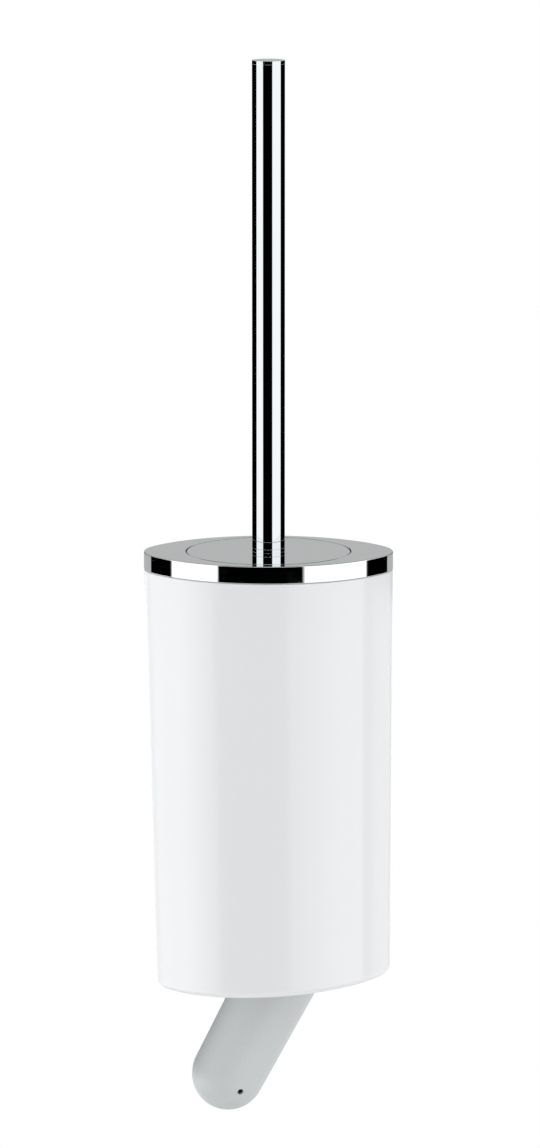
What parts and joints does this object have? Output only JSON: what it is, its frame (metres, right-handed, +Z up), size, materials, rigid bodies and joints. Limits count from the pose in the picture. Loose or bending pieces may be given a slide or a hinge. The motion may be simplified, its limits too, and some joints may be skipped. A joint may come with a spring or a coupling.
{
  "type": "toilet brush holder",
  "caption": "Wall-mounted toilet brush holder: a tapered oval white cup on a leaning capsule bracket, with a polished ring, a round lid and a lift-out brush on a long tube handle.",
  "frame": {"origin": "on the wall face, midway between the wall plate's two screw holes", "axes": "+X to the holder's right seen from the front, +Y into the wall, +Z up, along the brush"},
  "size_m": [0.1064, 0.1019, 0.4722],
  "materials": {
    "chrome": "mirror-polished chrome plate",
    "white_cup": "glossy white cast resin",
    "satin_metal": "satin pale grey coated die casting",
    "zinc_steel": "zinc-plated steel",
    "dark_steel": "black-oxide steel",
    "stainless": "turned stainless steel",
    "brass": "turned brass",
    "grey_nylon": "moulded nylon",
    "liner_plastic": "translucent white moulded plastic",
    "white_plastic": "white moulded plastic",
    "bristle": "white nylon bristles",
    "seal_rubber": "soft grey seal"
  },
  "bodies": {
    "holder": {"wall_plate": "zinc_steel", "bracket": "satin_metal", "bracket_grub_screw": "dark_steel", "cup_saddle": "grey_nylon", "cup_screws": "zinc_steel", "cup_washers": "zinc_steel", "cup_inserts": "brass", "cup": "white_cup", "ring_gasket": "seal_rubber", "top_ring": "chrome"},
    "liner": {"liner": "liner_plastic"},
    "lid": {"lid_disc": "chrome", "lid_gasket": "seal_rubber", "lid_bush": "grey_nylon"},
    "brush": {"handle_tube": "chrome", "handle_cap": "chrome", "handle_plug": "stainless", "stem_rod": "stainless", "lid_washer": "stainless", "lid_nut": "stainless", "stem_sleeve": "white_plastic", "brush_hub": "white_plastic", "hub_insert": "brass", "bristle_row_01": "bristle", "bristle_row_02": "bristle", "bristle_row_03": "bristle", "bristle_row_04": "bristle", "bristle_row_05": "bristle", "bristle_row_06": "bristle", "bristle_row_07": "bristle", "bristle_row_08": "bristle", "bristle_tip": "bristle"}
  },
  "joints": [
    {"name": "liner_lift", "type": "slide", "parent": "holder", "child": "liner", "axis": [0, 0, 1], "range_m": [0, 0.18]},
    {"name": "lid_lift", "type": "slide", "parent": "liner", "child": "lid", "axis": [0, 0, 1], "range_m": [0, 0.18]},
    {"name": "brush_turn", "type": "hinge", "parent": "lid", "child": "brush", "pos_m": [0, -0.062, 0.2116], "axis": [0, 0, 1], "continuous": true}
  ]
}
